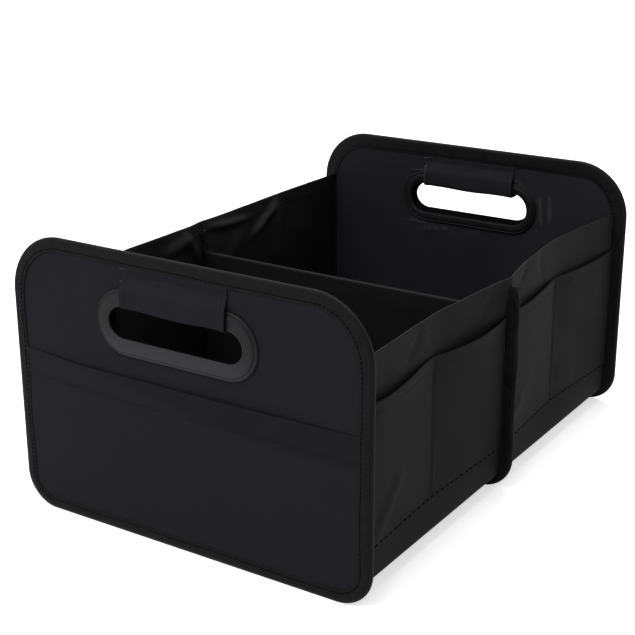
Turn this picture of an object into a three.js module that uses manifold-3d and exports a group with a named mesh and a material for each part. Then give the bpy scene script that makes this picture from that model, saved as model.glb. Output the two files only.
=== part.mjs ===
// A soft car trunk organizer: an open box of black Oxford cloth with two stiffened end panels, a sewn-in
// divider and stitched pockets. Sizes are in millimetres. X runs across the box, Y along it with the front
// end panel at -Y, and Z is up. The origin is at the bottom centre, where the divider's taped edge stands.
import * as THREE from "three";
import { mergeVertices } from "three/addons/utils/BufferGeometryUtils.js";
import Module from "manifold-3d";

const wasm = await Module();
wasm.setup();

// End panels
const panelWidth = 320;
const panelHeight = 226;
const boxLength = 448;
const topCornerRadius = 48;
const bottomCornerRadius = 28;
const boardThickness = 2;
const coverThickness = 1;
const boardInset = 3;

// Edge tape folded over the rim of the end panels and over the divider's fins
const tapeThickness = 0.75;
const tapeFaceWidth = 10;
const tapeSeamWidth = 13;
const tapeEdgeChamfer = 1;
const tapeFoldClearance = 0.25;

// Hand slot and its two-piece grip frame. Both end panels are cut alike, with the slot a little to the left
// of the middle as seen from outside.
const slotDrop = 53;
const gripOffset = 2.7;
const slotCentreHeight = panelHeight - slotDrop;
const slotHalfStraight = 46;
const slotRadius = 14;
const collarWall = 2;
const frameRadius = 26;
const frameRise = 3.4;
const frameClearance = 0.25;
const collarEnd = 4.75;

// Cloth sleeve sewn round the bar above the slot
const sleeveWidth = 90;
const sleeveThickness = 1.5;
const sleeveReach = { outside: 15, inside: 13.5 };
const sleeveSeamHeight = 6;
const sleeveStandOff = 5.75;
const sleeveClearance = 0.25;

// Cloth shell of each compartment: wall, floor, wall in one strip
const shellInset = 11;
const shellHalfWidth = panelWidth / 2 - shellInset;
const shellBase = 11;
const rimDrop = 44;
const rimHeight = panelHeight - rimDrop;
const clothThickness = 1;
const hemThickness = 1.75;
const rimHemWidth = 12;
const shellCornerRadius = 4;

// How far each wall is drawn in at the middle of its compartment
const drawIn = {
  right: { front: 6, back: 9 },
  left: { front: 2, back: 1 },
};
const drawInStart = 18;
const drawInShareAtPocketSeam = 0.85;
const creaseSoftness = 0.12;

// Side pockets: one sheet a wall, with a seam down its middle
const pocketBottom = 36;
const pocketDrop = 32;
const pocketTop = rimHeight - pocketDrop;
const pocketHemWidth = 11;
const pocketSeamGap = 0.3;
const mouthBulge = { front: [7, 8.5], back: [8, 7.5] };
const mouthBulgePower = 1.3;

// Pocket on the outside of the front panel
const frontPocketDrop = 16.5;
const frontPocketTop = slotCentreHeight - frameRadius - frontPocketDrop;
const frontPocketHemWidth = 21.5;
const frontPocketClearance = 0.3;
const frontPocketBulge = 5.5;

// Divider
const dividerDrop = 27;
const dividerTop = rimHeight - dividerDrop;

// The fins' outer edge is drawn in towards the rim: [share of the draw-in, distance below the rim]
const finDrawIn = 6;
const finDrawInPath = [
  [1, 0],
  [0.6, 6],
  [0.22, 13],
  [0, 21],
];

// Base stiffeners
const baseBoardThickness = 2.5;
const baseBoardSideClearance = 3.5;
const baseBoardEndClearance = 1;
const liningOverhang = 0.5;

const arcSteps = 6;
const slotArcSteps = 9;
const pocketStations = [0, 0.1, 0.26, 0.5, 0.74, 0.9, 1];

const panelHalfThickness = boardThickness / 2 + coverThickness;
const tapedHalfThickness = panelHalfThickness + tapeThickness;
const endPanelCentre = boxLength / 2 - tapedHalfThickness;
const coverInset = tapeThickness + tapeFoldClearance;
const panelHoleRadius = slotRadius + collarWall + frameClearance;

const clothBlack = new THREE.MeshStandardMaterial({ color: 0x252427, roughness: 0.85, metalness: 0 });
const tapeBlack = new THREE.MeshStandardMaterial({ color: 0x1b1b1c, roughness: 0.8, metalness: 0 });
const gripBlack = new THREE.MeshStandardMaterial({ color: 0x35343a, roughness: 0.45, metalness: 0 });
const boardGrey = new THREE.MeshStandardMaterial({ color: 0x8a8a86, roughness: 0.7, metalness: 0 });

const organizer = new THREE.Group();

function addPiece(name, geometry, material) {
  const mesh = new THREE.Mesh(geometry, material);
  mesh.name = name;
  organizer.add(mesh);
}

// Builds a geometry from points and triangles, and turns it the right way out by the sign of its volume.
function closedGeometry(points, triangles) {
  let volume = 0;
  for (const [a, b, c] of triangles) {
    const [p, q, r] = [points[a], points[b], points[c]];
    volume += p[0] * (q[1] * r[2] - q[2] * r[1]);
    volume -= p[1] * (q[0] * r[2] - q[2] * r[0]);
    volume += p[2] * (q[0] * r[1] - q[1] * r[0]);
  }
  const ordered = volume < 0 ? triangles.map(([a, b, c]) => [a, c, b]) : triangles;
  const geometry = new THREE.BufferGeometry();
  geometry.setAttribute("position", new THREE.Float32BufferAttribute(points.flat(), 3));
  geometry.setIndex(ordered.flat());
  geometry.computeVertexNormals();
  return geometry;
}

// A sheet of cloth: two grids of points, face and back, joined round their edge.
function sheetGeometry(columns, rows, facePoint, backPoint) {
  const points = [];
  const at = (side, i, j) => side * columns * rows + i * rows + j;
  for (const pointOf of [facePoint, backPoint]) {
    for (let i = 0; i < columns; i++) {
      for (let j = 0; j < rows; j++) points.push(pointOf(i, j));
    }
  }
  const triangles = [];
  const quad = (a, b, c, d) => triangles.push([a, b, c], [a, c, d]);
  for (let i = 0; i + 1 < columns; i++) {
    for (let j = 0; j + 1 < rows; j++) {
      quad(at(0, i, j), at(0, i + 1, j), at(0, i + 1, j + 1), at(0, i, j + 1));
      quad(at(1, i, j), at(1, i, j + 1), at(1, i + 1, j + 1), at(1, i + 1, j));
    }
  }
  for (let i = 0; i + 1 < columns; i++) {
    quad(at(0, i + 1, 0), at(0, i, 0), at(1, i, 0), at(1, i + 1, 0));
    quad(at(0, i, rows - 1), at(0, i + 1, rows - 1), at(1, i + 1, rows - 1), at(1, i, rows - 1));
  }
  for (let j = 0; j + 1 < rows; j++) {
    quad(at(0, 0, j), at(0, 0, j + 1), at(1, 0, j + 1), at(1, 0, j));
    quad(at(0, columns - 1, j + 1), at(0, columns - 1, j), at(1, columns - 1, j), at(1, columns - 1, j + 1));
  }
  return closedGeometry(points, triangles);
}

// Carries a profile of [offset, depth] points round an outline. outlineAt(offset) gives [x, z] points and
// depthToY turns a depth into a Y. A closed outline makes a ring, and an open one gets flat ends.
function sweptGeometry(profile, outlineAt, depthToY, closed) {
  const loops = profile.map(([offset]) => outlineAt(offset));
  const stations = loops[0].length;
  const sides = profile.length;
  const points = [];
  for (let i = 0; i < stations; i++) {
    profile.forEach(([, depth], k) => points.push([loops[k][i][0], depthToY(depth), loops[k][i][1]]));
  }
  const triangles = [];
  const spans = closed ? stations : stations - 1;
  for (let i = 0; i < spans; i++) {
    const next = (i + 1) % stations;
    for (let k = 0; k < sides; k++) {
      const beside = (k + 1) % sides;
      const [a, b] = [i * sides + k, next * sides + k];
      const [c, d] = [next * sides + beside, i * sides + beside];
      triangles.push([a, b, c], [a, c, d]);
    }
  }
  if (!closed) {
    const section = profile.map(([offset, depth]) => new THREE.Vector2(offset, depth));
    const cap = THREE.ShapeUtils.triangulateShape(section, []);
    const turn = THREE.ShapeUtils.isClockWise(section);
    const last = (stations - 1) * sides;
    for (const [a, b, c] of cap) {
      triangles.push(turn ? [a, c, b] : [a, b, c]);
      triangles.push(turn ? [last + a, last + b, last + c] : [last + a, last + c, last + b]);
    }
  }
  return closedGeometry(points, triangles);
}

// Points of a quarter turn about a centre, from one angle to the next.
function arcPoints(centreX, centreZ, radius, startAngle, steps = arcSteps) {
  return Array.from({ length: steps + 1 }, (_, i) => {
    const angle = startAngle + (i / steps) * (Math.PI / 2);
    return [centreX + radius * Math.cos(angle), centreZ + radius * Math.sin(angle)];
  });
}

// Outline of an end panel, moved inwards by inset.
function panelOutline(inset) {
  const topX = panelWidth / 2 - topCornerRadius;
  const topZ = panelHeight - topCornerRadius;
  const bottomX = panelWidth / 2 - bottomCornerRadius;
  const topRadius = topCornerRadius - inset;
  const bottomRadius = bottomCornerRadius - inset;
  return [
    ...arcPoints(topX, topZ, topRadius, 0),
    ...arcPoints(-topX, topZ, topRadius, Math.PI / 2),
    ...arcPoints(-bottomX, bottomCornerRadius, bottomRadius, Math.PI),
    ...arcPoints(bottomX, bottomCornerRadius, bottomRadius, 1.5 * Math.PI),
  ];
}

// Outline of the divider's fins: down one side, along the bottom and up the other side.
function finOutline(inset) {
  const bottomX = panelWidth / 2 - bottomCornerRadius;
  const radius = bottomCornerRadius - inset;
  const drawn = finDrawIn * (1 - Math.max(0, inset - coverInset) / (tapeSeamWidth - coverInset));
  const side = finDrawInPath.map(([share, below]) => [
    panelWidth / 2 - inset - share * drawn,
    rimHeight - below,
  ]);
  return [
    ...side.map(([x, z]) => [-x, z]),
    ...arcPoints(-bottomX, bottomCornerRadius, radius, Math.PI),
    ...arcPoints(bottomX, bottomCornerRadius, radius, 1.5 * Math.PI),
    ...side.reverse(),
  ];
}

// Outline of the hand slot or of a ring round it: two half circles joined by straights.
function slotOutline(radius, middleX) {
  const quarter = (endX, startAngle) =>
    arcPoints(middleX + endX, slotCentreHeight, radius, startAngle, slotArcSteps);
  return [
    ...quarter(slotHalfStraight, -Math.PI / 2).slice(0, -1),
    ...quarter(slotHalfStraight, 0),
    ...quarter(-slotHalfStraight, Math.PI / 2).slice(0, -1),
    ...quarter(-slotHalfStraight, Math.PI),
  ];
}

// A flat plate with an [x, z] outline and holes, between two Y planes.
function plateGeometry(outline, holes, lowY, highY) {
  const shape = new THREE.Shape(outline.map(([x, z]) => new THREE.Vector2(x, z)));
  for (const hole of holes) shape.holes.push(new THREE.Path(hole.map(([x, z]) => new THREE.Vector2(x, z))));
  const geometry = new THREE.ExtrudeGeometry(shape, { depth: highY - lowY, bevelEnabled: false });
  geometry.rotateX(Math.PI / 2);
  geometry.translate(0, highY, 0);
  return geometry;
}

function solidOf(geometry) {
  const bare = new THREE.BufferGeometry();
  const source = geometry.index ? geometry.toNonIndexed() : geometry;
  bare.setAttribute("position", source.getAttribute("position"));
  const merged = mergeVertices(bare, 1e-4);
  return new wasm.Manifold(
    new wasm.Mesh({
      numProp: 3,
      vertProperties: new Float32Array(merged.attributes.position.array),
      triVerts: new Uint32Array(merged.index.array),
    }),
  );
}

function geometryOf(solid) {
  const mesh = solid.getMesh();
  const geometry = new THREE.BufferGeometry();
  geometry.setAttribute("position", new THREE.BufferAttribute(new Float32Array(mesh.vertProperties), 3));
  geometry.setIndex(new THREE.BufferAttribute(new Uint32Array(mesh.triVerts), 1));
  geometry.computeVertexNormals();
  return geometry;
}

// The folded tape's section: face leg, flat edge with small chamfers, and seam leg, as [inset, depth].
function tapeProfile(faceWidth, seamWidth) {
  const outside = tapedHalfThickness;
  const inside = panelHalfThickness;
  return [
    [faceWidth, inside],
    [faceWidth, outside],
    [tapeEdgeChamfer, outside],
    [0, outside - tapeEdgeChamfer],
    [0, -outside + tapeEdgeChamfer],
    [tapeEdgeChamfer, -outside],
    [seamWidth, -outside],
    [seamWidth, -inside],
    [tapeThickness, -inside],
    [tapeThickness, inside],
  ];
}

// Grip frame sections as [radius from the slot's centre line, depth]. The outer half carries the collar.
const outerFrameProfile = [
  [slotRadius, -collarEnd],
  [slotRadius, panelHalfThickness + 0.6 * frameRise],
  [slotRadius + 1.25, panelHalfThickness + 0.9 * frameRise],
  [slotRadius + 4, panelHalfThickness + frameRise],
  [frameRadius - 4, panelHalfThickness + 0.9 * frameRise],
  [frameRadius - 1, panelHalfThickness + 0.55 * frameRise],
  [frameRadius, panelHalfThickness + 0.2 * frameRise],
  [frameRadius, panelHalfThickness],
  [slotRadius + collarWall, panelHalfThickness],
  [slotRadius + collarWall, -collarEnd],
];
const innerFrameProfile = [
  [panelHoleRadius, panelHalfThickness],
  [panelHoleRadius, panelHalfThickness + 0.8 * frameRise],
  [slotRadius + 4, panelHalfThickness + frameRise],
  [frameRadius - 4, panelHalfThickness + 0.9 * frameRise],
  [frameRadius - 1, panelHalfThickness + 0.55 * frameRise],
  [frameRadius, panelHalfThickness + 0.2 * frameRise],
  [frameRadius, panelHalfThickness],
];

// The sleeve's section in [depth, height]: a U round the bar, with both ends laid flat on the covers.
function sleeveProfile() {
  const barBottom = slotCentreHeight + slotRadius - sleeveClearance;
  const frameTop = slotCentreHeight + frameRadius;
  const face = (top) => [
    [panelHalfThickness + sleeveThickness, top],
    [panelHalfThickness + sleeveThickness, top - sleeveSeamHeight],
    [sleeveStandOff + sleeveThickness, frameTop - 1],
    [sleeveStandOff + sleeveThickness, barBottom + 2],
    [sleeveStandOff + sleeveThickness - 0.75, barBottom - 0.5],
    [sleeveStandOff + sleeveThickness - 2.5, barBottom - sleeveThickness],
  ];
  const lining = (top) => [
    [panelHalfThickness, top],
    [panelHalfThickness, top - sleeveSeamHeight - 1],
    [sleeveStandOff, frameTop - 2],
    [sleeveStandOff, barBottom + 2.5],
    [sleeveStandOff - 0.4, barBottom + 0.7],
    [sleeveStandOff - 1.2, barBottom],
  ];
  const mirrored = (path) => path.map(([depth, height]) => [-depth, height]);
  const outside = frameTop + sleeveReach.outside;
  const inside = frameTop + sleeveReach.inside;
  return [
    ...face(outside),
    ...mirrored(face(inside)).reverse(),
    ...mirrored(lining(inside)),
    ...lining(outside).reverse(),
  ];
}

// An extrusion of a [y, z] section across the box.
function crossExtrusion(section, width, middleX) {
  const shape = new THREE.Shape(section.map(([y, z]) => new THREE.Vector2(y, z)));
  const geometry = new THREE.ExtrudeGeometry(shape, { depth: width, bevelEnabled: false });
  geometry.translate(0, 0, middleX - width / 2);
  geometry.applyMatrix4(new THREE.Matrix4().set(0, 0, 1, 0, 1, 0, 0, 0, 0, 1, 0, 0, 0, 0, 0, 1));
  return geometry;
}

// One end panel with its tape, grip and sleeve. outward is -1 at the front and 1 at the back.
function addEndPanel(end, outward) {
  const centre = outward * endPanelCentre;
  const toY = (depth) => centre + outward * depth;
  const plateBetween = (outline, holes, a, b) =>
    plateGeometry(outline, holes, Math.min(toY(a), toY(b)), Math.max(toY(a), toY(b)));
  const half = boardThickness / 2;
  const gripX = outward * gripOffset;
  const slotAt = (radius) => slotOutline(radius, gripX);
  const hole = [slotAt(panelHoleRadius)];
  addPiece(`${end}_panel_board`, plateBetween(panelOutline(boardInset), hole, -half, half), boardGrey);
  addPiece(
    `${end}_panel_outer_cover`,
    plateBetween(panelOutline(coverInset), hole, half, panelHalfThickness),
    clothBlack,
  );
  addPiece(
    `${end}_panel_inner_cover`,
    plateBetween(panelOutline(coverInset), hole, -panelHalfThickness, -half),
    clothBlack,
  );
  addPiece(
    `${end}_panel_edge_tape`,
    sweptGeometry(tapeProfile(tapeFaceWidth, tapeSeamWidth), panelOutline, toY, true),
    tapeBlack,
  );
  addPiece(`${end}_grip_frame_outer`, sweptGeometry(outerFrameProfile, slotAt, toY, true), gripBlack);
  addPiece(
    `${end}_grip_frame_inner`,
    sweptGeometry(innerFrameProfile, slotAt, (depth) => toY(-depth), true),
    gripBlack,
  );
  const section = sleeveProfile().map(([depth, height]) => [toY(depth), height]);
  addPiece(`${end}_grip_sleeve`, crossExtrusion(section, sleeveWidth, gripX), clothBlack);
}

// Share of the draw-in at a place along the compartment, 0 at its ends and 1 at its middle seam.
function drawInAlong(position) {
  const corner = Math.hypot(position, creaseSoftness) - creaseSoftness;
  return 1 - corner / (Math.hypot(1, creaseSoftness) - creaseSoftness);
}

// Share of the draw-in at a height: none at the base, most of it at the pockets' bottom seam.
function drawInAtHeight(height) {
  if (height <= drawInStart) return 0;
  if (height <= pocketBottom) {
    return (drawInShareAtPocketSeam * (height - drawInStart)) / (pocketBottom - drawInStart);
  }
  const above = (height - pocketBottom) / (rimHeight - pocketBottom);
  return drawInShareAtPocketSeam + (1 - drawInShareAtPocketSeam) * above;
}

// Places along a compartment from -1 to 1, closer together where a pocket starts and ends.
const stationsAlong = [
  ...pocketStations.map((share) => share - 1),
  ...pocketStations.slice(1),
];

// A compartment lies between the seam legs of the tapes at its two ends.
const compartments = {
  front: { low: -endPanelCentre + tapedHalfThickness, high: -tapedHalfThickness },
  back: { low: tapedHalfThickness, high: endPanelCentre - tapedHalfThickness },
};

function placeAlong(compartment, position) {
  const { low, high } = compartments[compartment];
  return low + ((position + 1) / 2) * (high - low);
}

function wallX(side, compartment, position, height) {
  const amount = drawIn[side][compartment];
  return shellHalfWidth - amount * drawInAlong(position) * drawInAtHeight(height);
}

// Half of the shell's section from the rim down to the middle of the floor. Each point has its outer
// place and the thickness and direction in which the inner face lies.
function shellHalfSection() {
  const hemBottom = rimHeight - rimHemWidth;
  const wallBottom = shellBase + shellCornerRadius;
  const middle = (pocketBottom + hemBottom) / 2;
  const heights = [rimHeight, hemBottom, hemBottom - 0.5, middle, pocketBottom, drawInStart];
  const wall = heights.map((height) => ({
    x: shellHalfWidth,
    z: height,
    inX: height >= hemBottom ? hemThickness : clothThickness,
    inZ: 0,
  }));
  const cornerX = shellHalfWidth - shellCornerRadius;
  const corner = [0, 1, 2, 3].map((step) => {
    const angle = (step / 3) * (Math.PI / 2);
    return {
      x: cornerX + shellCornerRadius * Math.cos(angle),
      z: wallBottom - shellCornerRadius * Math.sin(angle),
      inX: clothThickness * Math.cos(angle),
      inZ: clothThickness * Math.sin(angle),
    };
  });
  return [...wall, ...corner, { x: 0, z: shellBase, inX: 0, inZ: clothThickness }];
}

function addShell(compartment) {
  const half = shellHalfSection();
  const right = half.map((point) => ({ ...point, side: "right", sign: 1 }));
  const left = half
    .slice(0, -1)
    .reverse()
    .map((point) => ({ ...point, side: "left", sign: -1 }));
  const section = [...right, ...left];
  const pointOf = (i, j, inward) => {
    const point = section[j];
    const position = stationsAlong[i];
    const drawn = shellHalfWidth - wallX(point.side, compartment, position, point.z);
    const x = point.sign * (point.x - drawn - inward * point.inX);
    return [x, placeAlong(compartment, position), point.z + inward * point.inZ];
  };
  const geometry = sheetGeometry(
    stationsAlong.length,
    section.length,
    (i, j) => pointOf(i, j, 0),
    (i, j) => pointOf(i, j, 1),
  );
  addPiece(`${compartment}_shell`, geometry, clothBlack);
}

// How far a pocket's mouth stands off the wall: a rounded swell across each pocket, fading to its bottom.
function pocketBulge(compartment, position, height) {
  const [first, second] = mouthBulge[compartment];
  const size = position < 0 ? first : second;
  const across = position < 0 ? position + 1 : position;
  const up = (height - pocketBottom) / (pocketTop - pocketBottom);
  return size * Math.sin(Math.PI * across) ** 0.8 * up ** mouthBulgePower;
}

function addSidePocket(side, compartment) {
  const sign = side === "right" ? 1 : -1;
  const hemBottom = pocketTop - pocketHemWidth;
  const bodyHeight = hemBottom - pocketBottom;
  const heights = [
    ...[0, 0.25, 0.5, 0.75].map((share) => pocketBottom + share * bodyHeight),
    hemBottom - 0.5,
    hemBottom,
    pocketTop,
  ];
  const pointOf = (i, j, isFace) => {
    const position = stationsAlong[i];
    const height = heights[j];
    const thickness = height >= hemBottom ? hemThickness : clothThickness;
    const isSeam = Math.abs(position) === 1 || position === 0;
    const bulge = isSeam ? 0 : pocketBulge(compartment, position, height);
    const back = wallX(side, compartment, position, height) + pocketSeamGap + bulge;
    return [sign * (back + (isFace ? thickness : 0)), placeAlong(compartment, position), height];
  };
  const geometry = sheetGeometry(
    stationsAlong.length,
    heights.length,
    (i, j) => pointOf(i, j, true),
    (i, j) => pointOf(i, j, false),
  );
  addPiece(`${side}_${compartment}_pocket`, geometry, clothBlack);
}

// The front panel's pocket covers the panel inside its tape, and its mouth leans forward.
function addFrontPocket() {
  const inset = tapeFaceWidth + frontPocketClearance;
  const cornerRadius = bottomCornerRadius - inset;
  const halfWidth = panelWidth / 2 - inset;
  const hemBottom = frontPocketTop - frontPocketHemWidth;
  const cornerSteps = [0, 0.35, 0.75, 1.2];
  const heights = [
    ...cornerSteps.map((angle) => inset + cornerRadius * (1 - Math.cos(angle))),
    ...[0, 0.4, 0.72].map((share) => inset + cornerRadius + share * (hemBottom - inset - cornerRadius)),
    hemBottom - 0.5,
    hemBottom,
    frontPocketTop,
  ];
  const shares = [-1, -0.94, -0.8, -0.6, -0.3, 0, 0.3, 0.6, 0.8, 0.94, 1];
  const halfWidthAt = (height) => {
    const below = Math.max(0, inset + cornerRadius - height);
    return halfWidth - cornerRadius + Math.sqrt(Math.max(0, cornerRadius ** 2 - below ** 2));
  };
  const pointOf = (i, j, isFace) => {
    const height = heights[j];
    const share = shares[i];
    const up = (height - inset) / (frontPocketTop - inset);
    const thickness = height >= hemBottom ? hemThickness : clothThickness;
    const lean = frontPocketBulge * (1 - Math.abs(share) ** 2.5) * up ** 1.8;
    const depth = panelHalfThickness + lean + (isFace ? thickness : 0);
    return [share * halfWidthAt(height), -endPanelCentre - depth, height];
  };
  const geometry = sheetGeometry(
    shares.length,
    heights.length,
    (i, j) => pointOf(i, j, true),
    (i, j) => pointOf(i, j, false),
  );
  addPiece("front_panel_pocket", geometry, clothBlack);
}

// The divider: a board in a cloth cover that is folded over its top edge. The cover's ears reach up to the
// rim inside the fins, and a tape closes the fins.
function addDivider() {
  const half = boardThickness / 2;
  const boardSide = panelWidth / 2 - boardInset;
  const boardTop = dividerTop - coverThickness - tapeFoldClearance;
  const boardBottom = finOutline(boardInset).filter(([, height]) => height < boardTop);
  addPiece(
    "divider_board",
    plateGeometry([...boardBottom, [boardSide, boardTop], [-boardSide, boardTop]], [], -half, half),
    boardGrey,
  );
  const earInnerEdge = panelWidth / 2 - tapeSeamWidth;
  const coverOutline = [
    ...finOutline(coverInset),
    [earInnerEdge, rimHeight],
    [earInnerEdge, dividerTop],
    [-earInnerEdge, dividerTop],
    [-earInnerEdge, rimHeight],
  ];
  const whole = solidOf(plateGeometry(coverOutline, [], -panelHalfThickness, panelHalfThickness));
  const room = solidOf(
    plateGeometry(
      [
        [-panelWidth, -shellBase],
        [panelWidth, -shellBase],
        [panelWidth, dividerTop - coverThickness],
        [-panelWidth, dividerTop - coverThickness],
      ],
      [],
      -half,
      half,
    ),
  );
  addPiece("divider_cover", geometryOf(whole.subtract(room)), clothBlack);
  addPiece(
    "divider_edge_tape",
    sweptGeometry(tapeProfile(tapeSeamWidth, tapeSeamWidth), finOutline, (depth) => depth, false),
    tapeBlack,
  );
}

// A stiff board lies on each compartment's floor under a cloth lining.
function addBase(compartment) {
  const { low, high } = compartments[compartment];
  const boardLow = shellBase + clothThickness;
  const boardHigh = boardLow + baseBoardThickness;
  const slab = (margin, lowZ, highZ) => {
    const halfX = shellHalfWidth - clothThickness - baseBoardSideClearance + margin;
    const outline = [
      [-halfX, lowZ],
      [halfX, lowZ],
      [halfX, highZ],
      [-halfX, highZ],
    ];
    const endClearance = baseBoardEndClearance - margin;
    return plateGeometry(outline, [], low + endClearance, high - endClearance);
  };
  addPiece(`${compartment}_base_board`, slab(0, boardLow, boardHigh), boardGrey);
  const lining = slab(liningOverhang, boardHigh, boardHigh + clothThickness);
  addPiece(`${compartment}_base_lining`, lining, clothBlack);
}

addEndPanel("front", -1);
addEndPanel("back", 1);
addFrontPocket();
addDivider();
for (const compartment of ["front", "back"]) {
  addShell(compartment);
  addBase(compartment);
  for (const side of ["left", "right"]) addSidePocket(side, compartment);
}

export default organizer;
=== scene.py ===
import math

import bpy
import numpy as np
from mathutils import Euler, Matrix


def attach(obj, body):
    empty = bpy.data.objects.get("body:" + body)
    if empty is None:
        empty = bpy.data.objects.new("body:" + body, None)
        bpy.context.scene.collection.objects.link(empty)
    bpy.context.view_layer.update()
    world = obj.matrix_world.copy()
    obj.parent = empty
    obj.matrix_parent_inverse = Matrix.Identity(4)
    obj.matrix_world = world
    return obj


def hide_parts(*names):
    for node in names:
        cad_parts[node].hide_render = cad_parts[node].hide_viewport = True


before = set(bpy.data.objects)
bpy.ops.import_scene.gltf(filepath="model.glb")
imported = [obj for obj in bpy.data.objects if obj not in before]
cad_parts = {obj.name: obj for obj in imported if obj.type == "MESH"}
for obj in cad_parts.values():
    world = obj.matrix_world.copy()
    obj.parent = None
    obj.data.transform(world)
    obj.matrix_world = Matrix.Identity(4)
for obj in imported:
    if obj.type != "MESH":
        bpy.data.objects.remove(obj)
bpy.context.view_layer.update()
mm = 0.001

# The camera stands in front of the box, to the right and above it, about 1.2 m from its middle, with a
# long lens. Its place and lens were worked out from the photograph's straight edges.
camera = bpy.data.objects.new("camera", bpy.data.cameras.new("camera"))
camera.location = (0.5813, -0.9380, 0.5076)
camera.rotation_euler = Euler((math.radians(90 - 19.36), math.radians(0.1), math.radians(32.98)))
camera.data.lens = 78.14
camera.data.sensor_width = 36
camera.data.clip_end = 60
bpy.context.scene.collection.objects.link(camera)
bpy.context.scene.camera = camera


# The end panels' covers are black coated Oxford cloth, a plain weave of round threads with a dull sheen.
# They are cut to the panel's outline with a hole for the grip, and laid over both faces of its board.
class Thread:
    """An output socket in a material's tree. Arithmetic on it adds the Math nodes."""

    def __init__(self, paint, socket):
        self.paint, self.socket = paint, socket

    def _math(self, operation, *values):
        return self.paint.node("ShaderNodeMath", {"operation": operation}, list(values))

    def __add__(self, other):
        return self._math("ADD", self, other)

    __radd__ = __add__

    def __sub__(self, other):
        return self._math("SUBTRACT", self, other)

    def __rsub__(self, other):
        return self._math("SUBTRACT", other, self)

    def __mul__(self, other):
        return self._math("MULTIPLY", self, other)

    __rmul__ = __mul__

    def sine(self):
        return self._math("SINE", self)

    def size(self):
        return self._math("ABSOLUTE", self)

    def over(self, low, high):
        """0 below low, 1 above high and smooth between them."""
        return self.paint.node(
            "ShaderNodeMapRange",
            {"interpolation_type": "SMOOTHSTEP", "clamp": True},
            {"Value": self, "From Min": low, "From Max": high, "To Min": 0, "To Max": 1},
        )


class Paint:
    """A material: its Principled shader, and node() to add any other node to its tree."""

    def __init__(self, name, **constants):
        self.material = bpy.data.materials.new(name)
        self.material.use_nodes = True
        self.tree = self.material.node_tree
        self.shader = self.tree.nodes["Principled BSDF"]
        for socket, value in constants.items():
            self.shader.inputs[socket.replace("_", " ")].default_value = value

    def node(self, kind, settings, values, output=0):
        """Adds a node. Its settings are set first, then its sockets, by name or in their order."""
        made = self.tree.nodes.new(kind)
        for key, value in settings.items():
            setattr(made, key, value)
        pairs = values.items() if isinstance(values, dict) else enumerate(values)
        for key, value in pairs:
            self.fill(made.inputs[key], value)
        return Thread(self, made.outputs[output])

    def fill(self, socket, value):
        if isinstance(value, Thread):
            self.tree.links.new(value.socket, socket)
        else:
            socket.default_value = value

    def noise(self, place, scale, detail=3.0, stretch=(1, 1, 1)):
        """Soft noise about 0.5, with its grain stretched along an axis where stretch is below 1."""
        spread = self.node("ShaderNodeMapping", {}, {"Vector": place, "Scale": stretch})
        settings = {"noise_dimensions": "3D", "normalize": True}
        sockets = {"Vector": spread, "Scale": scale, "Detail": detail, "Roughness": 0.55}
        return self.node("ShaderNodeTexNoise", settings, sockets)

    def tint(self, dark, light, share):
        """A colour between two, by share."""
        mix = self.tree.nodes.new("ShaderNodeMix")
        mix.data_type = "RGBA"
        colours = [s for s in mix.inputs if s.type == "RGBA"]
        self.fill(mix.inputs["Factor"], share)
        colours[0].default_value = (*dark, 1)
        colours[1].default_value = (*light, 1)
        made = next(s for s in mix.outputs if s.type == "RGBA")
        self.tree.links.new(made, self.shader.inputs["Base Color"])

    def mix_lighter(self, light, share):
        """Mixes the colour made so far towards a lighter one, by share."""
        so_far = self.shader.inputs["Base Color"].links[0].from_socket
        self.tint(light, light, share)
        mix = self.shader.inputs["Base Color"].links[0].from_node
        self.tree.links.new(so_far, next(s for s in mix.inputs if s.type == "RGBA"))

    def bump(self, height, distance, strength=1.0):
        sockets = {"Strength": strength, "Distance": distance, "Height": height}
        self.fill(self.shader.inputs["Normal"], self.node("ShaderNodeBump", {}, sockets))


def woven_cloth(name, dark, light, pitch=0.62 * mm, rough=0.78, specular=0.07, shaded=False):
    """Oxford cloth. Height is the size of sin(pi u / pitch) sin(pi v / pitch), one crown a crossing, and the
    sign of that product tells warp from weft. Slubs are noise drawn out along the two thread directions.
    Shaded cloth goes to its dark tone where the mesh's shade attribute is 1, a painted shade, to its light
    tone where it is -1, a painted light, and to a still lighter tone where it is -4, a painted highlight on a
    crease."""
    paint = Paint(name, Metallic=0.0, Specular_IOR_Level=specular)
    flat = paint.node("ShaderNodeUVMap", {"uv_map": "cloth"}, [])
    along = paint.node("ShaderNodeSeparateXYZ", {}, [flat], 0)
    across = Thread(paint, along.socket.node.outputs[1])
    step = math.pi / pitch
    crossing = (along * step).sine() * (across * step).sine()
    crown = crossing.size()
    weft = crossing.over(-0.2, 0.2)
    slub_scale, cloud_scale = 1 / (1.1 * mm), 1 / (34 * mm)
    slub = paint.noise(flat, slub_scale, 2.0, (0.06, 1, 1)) + paint.noise(flat, slub_scale, 2.0, (1, 0.06, 1))
    cloud = paint.noise(flat, cloud_scale, 4.0)
    share = 0.30 * crown + 0.12 * weft + 0.30 * slub + 0.5 * cloud - 0.25
    if shaded:
        shade = paint.node("ShaderNodeAttribute", {"attribute_name": "shade"}, [], 2)
        share = share - 1.0 * shade
    paint.tint(dark, light, share.over(0.0, 1.0))
    if shaded:
        # Painted highlight: where the shade attribute is below -1.2 the colour is mixed towards this lighter
        # tone, along crease crests.
        paint.mix_lighter((0.042, 0.041, 0.046), (-1.0 * shade).over(1.2, 4.0))
    paint.fill(paint.shader.inputs["Roughness"], rough + 0.16 * (cloud - 0.5) - 0.05 * crown)
    paint.bump(crown * 0.55 + slub * 0.35 + cloud * 0.4, 0.11 * mm, 0.8)
    return paint.material


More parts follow.
